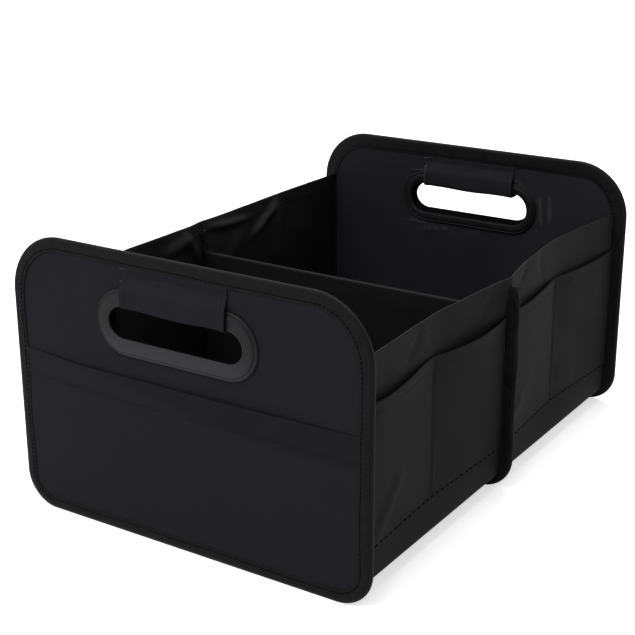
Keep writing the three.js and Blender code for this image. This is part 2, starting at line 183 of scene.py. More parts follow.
cloth_dark, cloth_light = (0.0123, 0.0117, 0.0148), (0.0204, 0.0194, 0.0243)
cloth = woven_cloth("oxford_cloth", cloth_dark, cloth_light)
shaded_cloth = woven_cloth("shaded_oxford_cloth", cloth_dark, cloth_light, shaded=True)


def outward(points, faces):
    """Turns the faces round where the closed mesh they make has a negative volume."""
    split = np.concatenate([faces[:, [0, 1, 2]], faces[:, [0, 2, 3]]]) if faces.shape[1] == 4 else faces
    a, b, c = (points[split[:, k]] for k in range(3))
    volume = np.einsum("ij,ij->i", a, np.cross(b, c)).sum()
    return faces[:, ::-1] if volume < 0 else faces


def new_piece(name, points, faces, material, flat=None, stands_for=()):
    """Puts points and faces into a smooth mesh that rides on the box. flat holds each point's place on the
    cloth before it was sewn, in metres, which the weave follows."""
    faces = outward(points, faces)
    mesh = bpy.data.meshes.new(name)
    mesh.from_pydata(points.tolist(), [], faces.tolist())
    mesh.polygons.foreach_set("use_smooth", np.ones(len(faces), bool))
    if flat is not None:
        corner = np.empty(len(mesh.loops), np.int32)
        mesh.loops.foreach_get("vertex_index", corner)
        mesh.uv_layers.new(name="cloth").data.foreach_set("uv", flat[corner].astype(np.float32).ravel())
    mesh.materials.append(material)
    mesh.update()
    piece = bpy.data.objects.new(name, mesh)
    bpy.context.scene.collection.objects.link(piece)
    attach(piece, "root")
    if stands_for:
        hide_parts(*stands_for)
    return piece


def paint_points(piece, name, values):
    """Gives each of the mesh's points a number that its material reads."""
    piece.data.attributes.new(name, "FLOAT", "POINT").data.foreach_set("value", values.astype(np.float32))


def lines(low, high, step, thickness):
    """Places from low to high about a step apart, with four close ones at each end for a rounded edge."""
    edge = thickness / 2 * (1 - np.cos(np.radians([0, 30, 60, 90])))
    count = max(2, round((high - low - thickness) / step))
    middle = np.linspace(low + thickness / 2, high - thickness / 2, count + 1)[1:-1]
    return np.concatenate([low + edge, middle, high - edge[::-1]])


def cloth_sheet(place, us, vs, thickness, ring=False, flat=None):
    """A sheet of cloth as a closed skin. place(u, v) gives its middle surface, and its face and back lie
    half a thickness either side along the normal, which is du x dv. The half thickness falls to nothing
    at the edges along a quarter circle, so that the edge is round. A ring closes on itself along u."""
    u, v = np.meshgrid(us, vs, indexing="ij")
    points = place(u, v)
    if ring:
        wrapped = np.concatenate([points[-1:], points, points[:1]])
        du = wrapped[2:] - wrapped[:-2]
    else:
        du = np.gradient(points, axis=0)
    normal = np.cross(du, np.gradient(points, axis=1))
    normal /= np.linalg.norm(normal, axis=2, keepdims=True)
    thick = thickness(u, v) if callable(thickness) else np.full(u.shape, thickness)

    def rounded(values, low, high):
        depth = np.minimum(np.minimum(values - low, high - values) / (thick / 2), 1)
        return np.sqrt(np.clip(1 - (1 - depth) ** 2, 0, 1))

    half = thick / 2 * rounded(v, vs[0], vs[-1])
    if not ring:
        half = half * rounded(u, us[0], us[-1])
    face, back = points + normal * half[..., None], points - normal * half[..., None]
    rows, columns = u.shape
    front = np.arange(rows * columns).reshape(rows, columns)
    rear = front.copy()
    inner = (slice(None) if ring else slice(1, -1), slice(1, -1))
    rear[inner] = front.size + np.arange(rear[inner].size).reshape(rear[inner].shape)
    every = np.concatenate([face.reshape(-1, 3), back[inner].reshape(-1, 3)])
    if ring:
        front, rear = (np.concatenate([g, g[:1]]) for g in (front, rear))

    def quads(g):
        return np.stack([g[:-1, :-1], g[1:, :-1], g[1:, 1:], g[:-1, 1:]], axis=-1).reshape(-1, 4)

    faces = np.concatenate([quads(front), quads(rear)[:, ::-1]])
    laid = np.stack([u, v], axis=-1) if flat is None else flat(u, v, points)
    laid = np.concatenate([laid.reshape(-1, 2), laid[inner].reshape(-1, 2)])
    return every, faces, laid


def quarter_turn(middle_x, middle_z, radius, first_angle):
    """An arc of 90 degrees, anticlockwise from its first angle, as [x, z] points."""
    turn = np.radians(np.linspace(first_angle, first_angle + 90, 48))
    return np.stack([middle_x + radius * np.cos(turn), middle_z + radius * np.sin(turn)], 1)


def round_outline(corners, count):
    """Follows straight runs and quarter turns anticlockwise. corners holds each turn's centre, radius and
    first angle. Gives count evenly spaced [x, z] points, their outward normals and the length so far."""
    rough = np.concatenate([quarter_turn(*corner) for corner in corners])
    return even_path(np.concatenate([rough, rough[:1]]), count, closed=True)


def even_path(rough, count, closed=False):
    """Evenly spaced points on a line through rough points, with the normals to its right and the length."""
    length = np.concatenate([[0], np.cumsum(np.linalg.norm(np.diff(rough, axis=0), axis=1))])
    spaced = np.linspace(0, length[-1], count + 1)[:-1] if closed else np.linspace(0, length[-1], count)
    path = np.stack([np.interp(spaced, length, rough[:, k]) for k in range(rough.shape[1])], 1)
    ends = np.concatenate([path[-1:], path, path[:1]]) if closed else path
    along = ends[2:] - ends[:-2] if closed else np.gradient(path, axis=0)
    normal = np.stack([along[:, 1], -along[:, 0]], 1)
    return path, normal / np.linalg.norm(normal, axis=1, keepdims=True), spaced


panel_width, panel_height = 320 * mm, 226 * mm
top_turn, bottom_turn = 48 * mm, 28 * mm
panel_middle = 221.25 * mm


def panel_outline(count):
    """The end panel's rim, anticlockwise from its top right turn."""
    upper_x, upper_z = panel_width / 2 - top_turn, panel_height - top_turn
    lower_x = panel_width / 2 - bottom_turn
    turns = [(upper_x, upper_z, top_turn, 0), (-upper_x, upper_z, top_turn, 90)]
    turns += [(-lower_x, bottom_turn, bottom_turn, 180), (lower_x, bottom_turn, bottom_turn, 270)]
    return round_outline(turns, count)


slot_height, slot_straight, grip_offset = 173 * mm, 46 * mm, 2.7 * mm


def slot_outline(radius, count, outward_y):
    """The stadium shape of the hand slot, at a radius from its centre line. Both panels are cut alike, with
    the slot a little to the left of the middle as seen from outside."""
    middle, z = outward_y * grip_offset, slot_height
    turns = [(slot_straight, -90), (slot_straight, 0), (-slot_straight, 90), (-slot_straight, 180)]
    return round_outline([(middle + x, z, radius, angle) for x, angle in turns], count)


def waves(a, b, seed, wavelength, count=7):
    """Soft cloth unevenness about 0: a sum of sine waves in random directions, with a fixed seed."""
    pick = np.random.default_rng(seed)
    angle, phase = pick.uniform(0, 2 * math.pi, (2, count))
    scale = 2 * math.pi / (wavelength * pick.uniform(0.7, 1.6, count))
    every = (np.sin(k * (a * math.cos(t) + b * math.sin(t)) + p) for t, p, k in zip(angle, phase, scale))
    return sum(every) / math.sqrt(count)


def waves_along(run, seed, wavelength):
    """The same unevenness along one line, as a column."""
    return waves(run, 0 * run, seed, wavelength)[:, None]


def ramp(values, low, high):
    """0 below low, 1 above high and smooth between them."""
    t = np.clip((values - low) / (high - low), 0, 1)
    return t * t * (3 - 2 * t)


def crease(a, b, start, finish, width, depth):
    """A straight fold from start to finish, in millimetres: depth times a bell curve across it, which rises
    and falls along it."""
    (a0, b0), (a1, b1) = start, finish
    length = math.hypot(a1 - a0, b1 - b0)
    along = ((a - a0 * mm) * (a1 - a0) + (b - b0 * mm) * (b1 - b0)) / length
    off = ((a - a0 * mm) * (b1 - b0) - (b - b0 * mm) * (a1 - a0)) / length
    share = along / (length * mm)
    window = ramp(share, -0.25, 0.3) * ramp(1 - share, -0.25, 0.3)
    return depth * mm * np.exp(-((off / (width * mm)) ** 2)) * window


def creases(a, b, folds):
    """The sum of several folds, each with its start, finish, width and depth in millimetres."""
    return sum(crease(a, b, *fold) for fold in folds)


def cut_at_angles(outline, middle_x, angles):
    """Where rays from the slot's middle meet an outline."""
    turn = np.unwrap(np.arctan2(outline[:, 1] - slot_height, outline[:, 0] - middle_x))
    turn, looped = np.concatenate([turn, [turn[0] + 2 * math.pi]]), np.concatenate([outline, outline[:1]])
    wanted = turn[0] + (angles - turn[0]) % (2 * math.pi)
    return np.stack([np.interp(wanted, turn, looped[:, k]) for k in range(2)], 1)


# Both inner covers are wrinkled round the grip. The back one has painted highlights along its wrinkles'
# crests, and painted light that makes it lighter towards +x.
cover_thickness, cover_depth, cover_inset, cover_hole = 0.9 * mm, 1.5 * mm, 3.2 * mm, 16.4 * mm
wrinkles = [((-63, 146.3), (-39, 146.3), 1.4, 0.9), ((-47, 141), (-18, 143.5), 1.7, 1.2)]
wrinkles += [((-14, 140), (12, 142), 1.6, 0.9), ((50, 202), (65, 190), 1.3, 1.0)]
wrinkles += [((76, 188), (79, 160), 2.2, 0.8), ((86, 190), (87, 164), 2.2, 0.7)]
wrinkles += [((-60, 197), (-41, 199), 1.1, 1.0)]
for end, outward_y in (("front", -1), ("back", 1)):
    for face, depth, seed in (("outer", cover_depth, 3), ("inner", -cover_depth, 4)):
        ray = np.linspace(0, 2 * math.pi, 361)[:-1]
        edge, edge_normal, _ = panel_outline(900)
        rim = cut_at_angles(edge - cover_inset * edge_normal, outward_y * grip_offset, ray)
        hole = cut_at_angles(slot_outline(cover_hole, 900, outward_y)[0], outward_y * grip_offset, ray)

        def cover(u, v, rim=rim, hole=hole, depth=depth, seed=seed, outward_y=outward_y):
            """Straight from the grip's hole to the panel's rim, v being the share of the way. The cloth
            stands a little off its board in soft waves, which die out under the grip frame and the tape."""
            share = v / v.max()
            place = hole[:, None] * (1 - share[..., None]) + rim[:, None] * share[..., None]
            x, z = place[..., 0], place[..., 1]
            free = ramp(share, 0.15, 0.4) * ramp(1 - share, 0.02, 0.2)
            loose = 0.22 * mm * (1 + waves(x, z, seed + outward_y, 70 * mm)) * free
            pulled = 0.10 * mm * (1 + waves(x, z, seed + 9, 16 * mm)) * ramp(share, 0.6, 0.85) * free
            if depth < 0:
                loose = loose + creases(x, z, wrinkles)
            y = outward_y * (panel_middle + depth + math.copysign(1, depth) * (loose + pulled))
            return np.stack([x, y, z], axis=-1)

        vs = lines(0, 60 * mm, 1.6 * mm, cover_thickness)
        points, faces, flat = cloth_sheet(
            cover, ray, vs, cover_thickness, ring=True, flat=lambda u, v, p: p[..., [0, 2]]
        )
        name = f"{end}_{face}_cover_cloth"
        piece = new_piece(name, points, faces, shaded_cloth, flat, [f"{end}_panel_{face}_cover"])
        crests = [(start, finish, 0.8 * width, 1) for start, finish, width, _ in wrinkles]
        # Painted highlight along the wrinkle crests, and painted light that rises towards +x, on the back
        # inner cover only.
        painted_crest_highlight = np.clip(1.5 * creases(points[:, 0], points[:, 2], crests) / mm, 0, 1)
        inner = -0.9 * ramp(points[:, 0], 10 * mm, 140 * mm) - 3.4 * painted_crest_highlight
        paint_points(piece, "shade", inner * (depth < 0 < outward_y))

# The stiffeners are plain extruded plastic boards, which the covers hide.
board = Paint("board_plastic", Roughness=0.6)
object_place = board.node("ShaderNodeTexCoord", {}, [], 3)
board.tint((0.23, 0.23, 0.215), (0.28, 0.28, 0.262), board.noise(object_place, 60, 4.0))
board.bump(board.noise(object_place, 900, 2.0), 0.04 * mm, 0.5)
for node in ("front_panel_board", "back_panel_board", "divider_board", "front_base_board", "back_base_board"):
    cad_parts[node].data.materials.clear()
    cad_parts[node].data.materials.append(board.material)


# The edge tape is a ribbed polyester ribbon, folded over the rim of the covered board and sewn through
# close to its inner edge. It takes in the cloth's raw edges, so it is puckered a little all round.
def ribbed_tape(name, dark, light, specular=0.08):
    """Cross ribs run over the tape, u being the length along it: height is the size of sin(pi u / rib)."""
    paint = Paint(name, Metallic=0.0, Specular_IOR_Level=specular)
    flat = paint.node("ShaderNodeUVMap", {"uv_map": "cloth"}, [])
    along = paint.node("ShaderNodeSeparateXYZ", {}, [flat], 0)
    rib = (along * (math.pi / (0.8 * mm))).sine().size()
    cloud = paint.noise(flat, 1 / (11 * mm), 4.0)
    paint.tint(dark, light, (0.3 * rib + 1.3 * cloud - 0.3).over(0.2, 0.7))
    paint.fill(paint.shader.inputs["Roughness"], 0.66 + 0.2 * (cloud - 0.5) - 0.08 * rib)
    paint.bump(rib + cloud * 2.4, 0.10 * mm, 0.9)
    return paint.material


tape = ribbed_tape("binding_tape", (0.0026, 0.0025, 0.0028), (0.0074, 0.0072, 0.0079))


def ribbon_section(middle, thickness):
    """A ribbon's closed section round its middle line, with half-round ends, and each point's place
    across the ribbon. Both are worked out from the middle line's normals."""
    path, normal, length = even_path(middle, 60)
    turn = np.radians([30, 60, 90, 120, 150])[:, None]
    along = np.stack([-normal[:, 1], normal[:, 0]], 1)
    half = thickness / 2
    far = path[-1] + half * (np.cos(turn) * normal[-1] + np.sin(turn) * along[-1])
    near = path[0] - half * (np.cos(turn) * normal[0] + np.sin(turn) * along[0])
    section = np.concatenate([path + half * normal, far, (path - half * normal)[::-1], near])
    across = np.concatenate([length, np.full(5, length[-1]), length[::-1], np.zeros(5)])
    return section, across


def tube_faces(stations, sides, closed):
    """Quads between the rings of a swept section."""
    grid = np.arange(stations * sides).reshape(stations, sides)
    grid = np.concatenate([grid, grid[:, :1]], axis=1)
    if closed:
        grid = np.concatenate([grid, grid[:1]])
    return np.stack([grid[:-1, :-1], grid[1:, :-1], grid[1:, 1:], grid[:-1, 1:]], axis=-1).reshape(-1, 4)


def fold_line(outer_reach, inner_reach, depth):
    """The tape's middle line as [inset, depth]: down one face, round the rim in a half circle and up the
    other."""
    turn = np.radians(np.linspace(90, 270, 25))
    bend = np.stack([depth + depth * np.cos(turn), depth * np.sin(turn)], 1)
    outer_face = [[outer_reach, depth], [outer_reach - 3 * mm, depth]]
    return np.concatenate([outer_face, bend, [[inner_reach, -depth]]])


def skin_index(section, reach, side):
    """Which point of a tape's section is on the outer skin of one side, at a reach from the fold."""
    wrong_side = 9 * (np.sign(section[:, 1]) != side)
    return int(np.argmin(np.abs(section[:, 0] - reach) + wrong_side - 0.5 * np.abs(section[:, 1])))


tape_thickness, tape_depth = 0.75 * mm, 2.43 * mm
face_reach, seam_reach = 10.4 * mm, 13 * mm


def facing(row, away):
    """A row of points for stitches, with one direction away from the cloth for all of them."""
    return row, np.tile(np.array(away, float), (len(row), 1))


def read_off(values, run, at):
    """A path's values at given lengths along it."""
    return np.stack([np.interp(at, run, values[:, k]) for k in range(3)], 1)


def stitches(rows, material, name, pitch=3.3 * mm, length=2.5 * mm, radius=0.3 * mm):
    """Rows of thread stitches. Each row is a path of points and the cloth's normals there. A stitch is a
    spindle of six sides whose radius goes as the sine along it, bedded a little in the cloth."""
    around, along = np.meshgrid(np.radians(np.arange(0, 360, 60)), np.linspace(0, math.pi, 5)[1:-1])
    girth = radius * np.sin(along) ** 0.6
    shape = np.stack([-np.cos(along) * length / 2, girth * np.cos(around), girth * np.sin(around)], -1)
    shape = np.concatenate([shape.reshape(-1, 3), [[-length / 2, 0, 0], [length / 2, 0, 0]]])
    ring = np.arange(18).reshape(3, 6)
    ring = np.concatenate([ring, ring[:, :1]], axis=1)
    sides = np.stack([ring[:-1, :-1], ring[1:, :-1], ring[1:, 1:], ring[:-1, 1:]], -1).reshape(-1, 4)
    triangles = np.concatenate([sides[:, [0, 1, 2]], sides[:, [0, 2, 3]]])
    first_tip = np.stack([np.full(6, 18), ring[0, 1:], ring[0, :-1]], 1)
    last_tip = np.stack([np.full(6, 19), ring[2, :-1], ring[2, 1:]], 1)
    triangles = np.concatenate([triangles, first_tip, last_tip])
    every = []
    for path, normal in rows:
        run = np.concatenate([[0], np.cumsum(np.linalg.norm(np.diff(path, axis=0), axis=1))])
        at = np.arange(pitch / 2, run[-1], pitch)
        centre, ahead, behind = (read_off(path, run, at + step) for step in (0, 0.5 * mm, -0.5 * mm))
        tangent = ahead - behind
        tangent /= np.linalg.norm(tangent, axis=1, keepdims=True)
        up = read_off(normal, run, at)
        up -= tangent * np.einsum("ij,ij->i", tangent, up)[:, None]
        up /= np.linalg.norm(up, axis=1, keepdims=True)
        turned = shape @ np.stack([tangent, np.cross(up, tangent), up], 1)
        every.append(centre[:, None] + up[:, None] * 0.12 * mm + turned)
    every = np.concatenate(every)
    faces = (triangles[None] + (np.arange(len(every)) * len(shape))[:, None, None]).reshape(-1, 3)
    return new_piece(name, every.reshape(-1, 3), faces, material)


def mottled(name, dark, light, scale, rough, specular):
    """A plain material that is mottled between two tones."""
    paint = Paint(name, Roughness=rough, Metallic=0.0, Specular_IOR_Level=specular)
    place = paint.node("ShaderNodeTexCoord", {}, [], 3)
    paint.tint(dark, light, paint.noise(place, scale, 2.0))
    return paint.material


thread = mottled("sewing_thread", (0.0050, 0.0050, 0.0054), (0.0105, 0.0104, 0.0112), 700, 0.6, 0.15)
# Painted shade: near-black thread for the binding and pocket-bottom stitches, standing in for the shadow that
# the stitches sink into.
seam_shadow_thread = mottled("seam_shadow_thread", (0.0010, 0.0010, 0.0011), (0.0034, 0.0033, 0.0036), 160, 0.8, 0.0)

pocket_mouth_height = 130.5 * mm
for end, outward_y in (("front", -1), ("back", 1)):
    stations = 640
    rim, rim_normal, run = panel_outline(stations)
    section, across = ribbon_section(fold_line(face_reach, seam_reach, tape_depth), tape_thickness)
    inset, depth = section[None, :, 0], section[None, :, 1]
    bend = np.abs(np.gradient(np.unwrap(np.arctan2(rim_normal[:, 1], rim_normal[:, 0])), run))
    bend = np.convolve(np.concatenate([bend[-12:], bend, bend[:12]]), np.ones(25) / 25, "valid")
    leg = ramp(np.abs(inset), 2.5 * mm, 7 * mm)
    pucker_size = 0.14 * mm + 0.3 * mm * bend[:, None] * bottom_turn
    pucker = waves_along(run, 21 + outward_y, 9 * mm) * pucker_size
    beside_pocket = ramp(pocket_mouth_height - rim[:, 1:], -2 * mm, 3 * mm) * (end == "front")
    tucked = 0.72 * mm * beside_pocket * (depth > 0) * ramp(inset, 1 * mm, 4 * mm)
    depth = depth + np.sign(depth) * (np.abs(pucker) * leg) + tucked
    sway = 0.45 * mm * waves_along(run, 31 + outward_y, 45 * mm) * leg
    place = rim[:, None] - rim_normal[:, None] * (inset + sway)[..., None]
    points = np.stack([place[..., 0], outward_y * (panel_middle + depth), place[..., 1]], -1)
    flat = np.stack(np.broadcast_arrays(run[:, None], across[None]), -1)
    new_piece(
        f"{end}_binding_tape", points.reshape(-1, 3), tube_faces(stations, len(section), True), tape,
        flat.reshape(-1, 2), [f"{end}_panel_edge_tape"],
    )
    rows = []
    for reach, side in ((face_reach - 2.2 * mm, 1), (seam_reach - 2.2 * mm, -1)):
        row = points[:, skin_index(section, reach, side)]
        rows.append(facing(np.concatenate([row, row[:1]]), [0, side * outward_y, 0]))
    stitches(rows, seam_shadow_thread, f"{end}_binding_stitches", 3.6 * mm, 2.7 * mm, 0.3 * mm)

# The grip frames are two moulded plastic rings that clip together through the slot, the outer one with a
# collar. Their satin flanges have a sharp inner lip and, near the outer edge, a groove beside a low ridge.
# The outer ring's lower flange is painted lighter, a painted light, the inner ring is painted darker, a
# painted shade, and the collar's bore is painted near black, a painted shade.
plastic = Paint("grip_plastic", Metallic=0.0, Specular_IOR_Level=0.15)
plastic_place = plastic.node("ShaderNodeTexCoord", {}, [], 3)
grain, patch = plastic.noise(plastic_place, 1500, 2.0), plastic.noise(plastic_place, 45, 3.0)
streak = plastic.noise(plastic_place, 1 / (1.1 * mm), 2.0, (0.05, 1, 1))
painted_light_share = plastic.node("ShaderNodeAttribute", {"attribute_name": "painted_light_share"}, [], 2)
shine = painted_light_share * (1 + 0.5 * (streak - 0.5)) + 0.12 * (patch - 0.5)
plastic.tint((0.0028, 0.0027, 0.0033), (0.0340, 0.0327, 0.0378), shine)
plastic.fill(plastic.shader.inputs["Roughness"], 0.46 + 0.16 * (patch - 0.5) + 0.2 * (streak - 0.5))
plastic.bump(grain + streak * 1.5, 0.035 * mm, 0.6)
# Painted shade: a near-black matte colour for the collar's bore, standing in for the shadow inside the slot.
shaded_bore_paint = mottled("grip_bore", (0.0022, 0.0021, 0.0025), (0.0040, 0.0038, 0.0044), 900, 0.8, 0.0)

# Each ring's section, as millimetres from the slot's centre line and from the panel's middle. The inner
# ring has no collar, and its flange is narrower.
flange = [(14.5, 5.3), (17.5, 5.35), (20.5, 5.3), (22.3, 5.1), (22.8, 4.75), (23.1, 4.0), (23.5, 3.9)]
flange += [(23.9, 4.2), (24.4, 4.35), (25.0, 4.2), (25.5, 3.7), (25.85, 3.0), (26.0, 2.4), (25.9, 2.1)]
flange += [(25.7, 2.04), (20.0, 2.04)]
lip = [(15.2, 0.6), (14.4, 2.2), (13.2, 3.6), (12.6, 4.2), (12.4, 4.7), (12.5, 5.05), (12.9, 5.22)]
collar_end = [(16.1, -4.5), (15.95, -4.9), (15.55, -4.9), (15.4, -4.5)]
collared = [*lip, *flange, (16.3, 2.04), (16.0, 1.4), *collar_end]
plain = [(16.3, 2.04), (16.25, 2.9), (16.3, 4.3), (16.6, 4.9), (17.1, 5.2), *flange[2:]]
plain = [(16.3 + 0.86 * (radius - 16.3), depth) for radius, depth in plain]
ring_stations, ring_sides = 260, 130
for end, outward_y in (("front", -1), ("back", 1)):
    for half, profile, turned in (("outer", collared, 1), ("inner", plain, -1)):
        section = np.array(profile) * mm
        section, _, _ = even_path(np.concatenate([section, section[:1]]), ring_sides, closed=True)
        loop_radius = 20 * mm
        loop, loop_normal, _ = slot_outline(loop_radius, ring_stations, outward_y)
        radius, depth = section[None, :, 0], section[None, :, 1]
        place = loop[:, None] + loop_normal[:, None] * (radius - loop_radius)[..., None]
        longer = 1.6 * mm * ramp(-radius, -15.2 * mm, -12.4 * mm) * loop_normal[:, :1]
        y = np.broadcast_to(outward_y * (panel_middle + turned * depth), place.shape[:2])
        points = np.stack([place[..., 0] + longer, y, place[..., 1]], -1).reshape(-1, 3)
        faces = tube_faces(ring_stations, ring_sides, True)
        replaced = [f"{end}_grip_frame_{half}"]
        name = f"{end}_grip_ring_{half}"
        piece = new_piece(name, points, faces, plastic.material, None, replaced)
        # Painted light on the outer ring's lower flange, which faces up, and painted shade over the whole
        # inner ring.
        lower = np.clip(-loop_normal[:, 1:], 0, 1) ** 1.5
        face = 0.22 + 0.64 * lower if half == "outer" else 0.14 + 0.04 * lower
        paint_points(piece, "painted_light_share", np.repeat(face[:, 0], ring_sides))
        piece.data.materials.append(shaded_bore_paint)
        # The bore's faces take the painted shade material.
        painted_bore_shade = (section[:, 0] < 15.6 * mm) & (section[:, 1] < 4.2 * mm)
        piece.data.polygons.foreach_set("material_index", np.tile(painted_bore_shade.astype(np.int32), ring_stations))


# The grip sleeve is a strip of the same cloth, hemmed at both sides. It goes down over the bar above the
# slot, under it and up the other face, where both of its ends are sewn to the panel.
def smooth_path(knots, count):
    """Evenly spaced points on a Catmull-Rom curve through the knots."""
    knots = np.array(knots, float)
    knots = np.concatenate([2 * knots[:1] - knots[1:2], knots, 2 * knots[-1:] - knots[-2:-1]])
    t = np.linspace(0, 1, 24, endpoint=False)[None, :, None]
    a, b, c, d = (knots[k : len(knots) - 3 + k][:, None] for k in range(4))
    curve = 0.5 * (2 * b + (c - a) * t + (2 * a - 5 * b + 4 * c - d) * t**2 + (3 * b - a - 3 * c + d) * t**3)
    return even_path(np.concatenate([curve.reshape(-1, 2), knots[-2:-1]]), count)


# The sleeve's section goes from the panel's outer face to its inner one, as millimetres from the panel's
# middle and above the ground.
# Painted highlight: the bartacks are real, but their lighter thread, much lighter on the inner face, stands
# in for glints on the stitches.
outer_glint_tack = mottled("bartack_thread", (0.014, 0.014, 0.015), (0.030, 0.029, 0.032), 500, 0.45, 0.5)
inner_glint_tack = mottled("inner_bartack_thread", (0.012, 0.012, 0.013), (0.095, 0.093, 0.100), 260, 0.45, 0.5)
sleeve_half, sleeve_hem = 46.6 * mm, 5 * mm
sleeve_folds = [((-22, 209), (12, 206), 2.4, 0.7), ((10, 199), (34, 203), 3, 0.4)]
drop = [(2.6, 215.3), (2.65, 211.5), (2.95, 207.5), (4.6, 203.2), (6.3, 199.4), (6.85, 195.5), (6.85, 190.0)]
drop += [(6.6, 186.9), (5.6, 185.1), (3.0, 184.55)]
rise = [(-depth, height - (2.6 if height > 210 else 0)) for depth, height in reversed(drop)]
sleeve_path, _, sleeve_run = smooth_path(np.array(drop + [(0, 184.5)] + rise) * mm, 150)
for end, outward_y in (("front", -1), ("back", 1)):

    def sleeve(u, v, outward_y=outward_y):
        """The strip's section goes along v and its width along u. It sags a little between its seams,
        and its hemmed sides flare off the frame."""
        depth = np.interp(v, sleeve_run, sleeve_path[:, 0])
        height = np.interp(v, sleeve_run, sleeve_path[:, 1])
        free = np.sin(math.pi * v / sleeve_run[-1]) ** 0.7
        puff = 0.35 * mm * (1 + waves(u, v, 5 + outward_y, 32 * mm)) * ramp(np.abs(depth), 2.5 * mm, 5 * mm)
        flare = 0.5 * mm * (np.abs(u) / sleeve_half) ** 6
        depth = depth + np.sign(depth) * free * (puff + flare + creases(u, height, sleeve_folds))
        height = height - 0.3 * mm * free * waves(u, 0 * u, 8, 45 * mm) * ramp(-height, -189 * mm, -186 * mm)
        x = outward_y * grip_offset + u + 0.25 * mm * np.sign(u) * waves(v, 0 * v, 2, 20 * mm)
        return np.stack([x, outward_y * (panel_middle + depth), height], -1)

    def sleeve_thickness(u, v):
        hem = ramp(np.abs(u), sleeve_half - sleeve_hem - 0.5 * mm, sleeve_half - sleeve_hem)
        return 0.95 * mm + 0.4 * mm * hem

    us = lines(-sleeve_half, sleeve_half, 1.3 * mm, 1.3 * mm)
    vs = lines(0, sleeve_run[-1], 0.9 * mm, 1.3 * mm)
    points, faces, flat = cloth_sheet(sleeve, us, vs, sleeve_thickness)
    piece = new_piece(f"{end}_sleeve_cloth", points, faces, cloth, flat, [f"{end}_grip_sleeve"])
    rows = []
    for inset in (1.8 * mm, 4.2 * mm):
        for side in (1, -1):
            v = np.full(60, inset if side > 0 else sleeve_run[-1] - inset)
            u = np.linspace(-sleeve_half + 1 * mm, sleeve_half - 1 * mm, 60)
            row = sleeve(u, v) + np.array([0, side * outward_y * 0.55 * mm, 0])
            rows.append(facing(row, [0, side * outward_y, 0]))
    for u_side in (-1, 1):
        for side in (1, -1):
            v = np.linspace(2 * mm, 26 * mm, 60)
            v = v if side > 0 else sleeve_run[-1] - v
            u = np.full(60, u_side * (sleeve_half - 4.0 * mm))
            row = sleeve(u, v) + np.array([0, side * outward_y * 0.62 * mm, 0])
            rows.append(facing(row, [0, side * outward_y, 0]))
    stitches(rows, thread, f"{end}_sleeve_stitches", 2.6 * mm, 2.0 * mm, 0.26 * mm)
    v = sleeve_run[-1] - np.linspace(8 * mm, 27 * mm, 60)
    row = sleeve(np.full(60, -sleeve_half + 1.1 * mm), v) - np.array([0, outward_y * 0.62 * mm, 0])
    upright = [facing(row, [0, -outward_y, 0])]
    outer, inner = ((214.1, 3.3), (205.1, 4.1)), ((211.2, 3.3), (202.4, 4.4))
    sides = (("outer", 1, outer, [], outer_glint_tack, 0.34), ("inner", -1, inner, upright, inner_glint_tack, 0.4))
    for face, side, places, rows, tack, radius in sides:
        for height, depth in places:
            x = outward_y * grip_offset - sleeve_half + np.linspace(-2.0 * mm, 2.6 * mm, 20)
            y = np.full(20, outward_y * (panel_middle + side * depth * mm))
            rows.append(facing(np.stack([x, y, np.full(20, height * mm)], 1), [0, side * outward_y, 0]))
        stitches(rows, tack, f"{end}_sleeve_{face}_bartacks", 0.9 * mm, 1.1 * mm, radius * mm)

# The front pocket is one sheet over the lower part of the front panel, sewn in under the edge tape at its
# sides and bottom. Its hemmed mouth stands a few millimetres off the panel.
pocket_hem, pocket_inset = 21.5 * mm, 5 * mm
pocket_half = panel_width / 2 - pocket_inset


def front_mouth(x):
    """The mouth's height, which rises towards the pocket's left side."""
    return pocket_mouth_height + 3.3 * mm * ramp(-x, 90 * mm, 150 * mm)


def front_pocket(u, v):
    """Height runs from the bottom seam to the mouth along v, and the width at each height follows the
    panel's rounded corners. The belly bows out softly, and the hem tips outwards above its seam."""
    share = u / pocket_half
    stretch = (front_mouth(u) - pocket_inset) / (pocket_mouth_height - pocket_inset)
    height = pocket_inset + (v - pocket_inset) * stretch
    turn = bottom_turn - pocket_inset
    below = np.clip(bottom_turn - height, 0, turn)
    x = share * (pocket_half - turn + np.sqrt(np.clip(turn**2 - below**2, 0, None)))
    beside = ramp(panel_width / 2 - np.abs(x), 10 * mm, 26 * mm)
    held = (1 - np.clip(np.abs(x / (150 * mm)), 0, 1) ** 4) * beside
    up = (height - pocket_inset) / (front_mouth(x) - pocket_inset)
    belly = 0.7 * mm * np.sin(math.pi * np.clip(up, 0, 1)) + 0.3 * mm * up**2
    right = ramp(x, -150 * mm, 130 * mm)
    hem_low = pocket_mouth_height - pocket_hem
    tip = (0.9 + 1.5 * right) * mm * ramp(height, hem_low - 3 * mm, pocket_mouth_height + 4 * mm)
    loose = 0.3 * mm * waves(x, height, 14, 90 * mm) * ramp(up, 0.05, 0.3)
    depth = 2.6 * mm + held * (belly + tip + np.clip(loose, -0.2 * mm, 1))
    return np.stack([x, -panel_middle - depth, height], -1)


def front_pocket_thickness(u, v):
    hem = ramp(v, pocket_mouth_height - pocket_hem, pocket_mouth_height - pocket_hem + 0.8 * mm)
    under_tape = ramp(np.abs(u), pocket_half - 6 * mm, pocket_half - 4 * mm)
    return (0.9 * mm + 0.5 * mm * hem) * (1 - 0.5 * under_tape)


us = lines(-pocket_half, pocket_half, 1.8 * mm, 1.0 * mm)
vs = lines(pocket_inset, pocket_mouth_height, 1.4 * mm, 1.3 * mm)
points, faces, flat = cloth_sheet(front_pocket, us, vs, front_pocket_thickness)
piece = new_piece("front_pocket_cloth", points, faces, shaded_cloth, flat, ["front_panel_pocket"])
